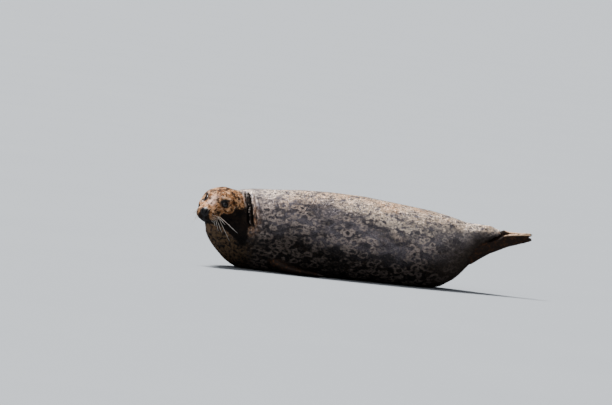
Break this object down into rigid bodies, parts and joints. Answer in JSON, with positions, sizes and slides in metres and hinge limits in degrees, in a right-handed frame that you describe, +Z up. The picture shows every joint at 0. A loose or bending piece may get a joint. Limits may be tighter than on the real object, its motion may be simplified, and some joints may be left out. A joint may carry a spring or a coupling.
{
  "type": "harbor seal",
  "caption": "Life-size still model of an adult harbor seal resting on its belly, head up and turned to its left, hind flippers held together and raised.",
  "frame": {"origin": "middle of the flat on the belly that the seal rests on, where its middle plane crosses x = 0, on the floor", "axes": "+Z up, -X towards the snout and +X towards the hind flippers, -Y the seal's left side, which faces the picture's camera"},
  "size_m": [1.5131, 0.4198, 0.3804],
  "materials": {
    "coat": "short flat fur, blackish grey with pale cream rings and mottling, darker below, tan on the face",
    "bare_skin": "moist dark bare skin of the nose pad",
    "eye": "wet glossy near-black eye",
    "claw": "dark horn, slightly polished"
  },
  "bodies": {
    "root": {"head": "coat", "muzzle": "coat", "lower_jaw": "coat", "neck": "coat", "chest": "coat", "trunk": "coat", "rump": "coat", "tail": "coat", "fore_flipper_left": "coat", "fore_flipper_right": "coat", "hind_flipper_left": "coat", "hind_flipper_right": "coat", "nose_pad": "bare_skin", "eye_left": "eye", "eye_right": "eye", "fore_claw_left_1": "claw", "fore_claw_left_2": "claw", "fore_claw_left_3": "claw", "fore_claw_left_4": "claw", "fore_claw_left_5": "claw", "fore_claw_right_1": "claw", "fore_claw_right_2": "claw", "fore_claw_right_3": "claw", "fore_claw_right_4": "claw", "fore_claw_right_5": "claw", "hind_claw_left_1": "claw", "hind_claw_left_2": "claw", "hind_claw_left_3": "claw", "hind_claw_left_4": "claw", "hind_claw_left_5": "claw", "hind_claw_right_1": "claw", "hind_claw_right_2": "claw", "hind_claw_right_3": "claw", "hind_claw_right_4": "claw", "hind_claw_right_5": "claw"}
  },
  "joints": []
}
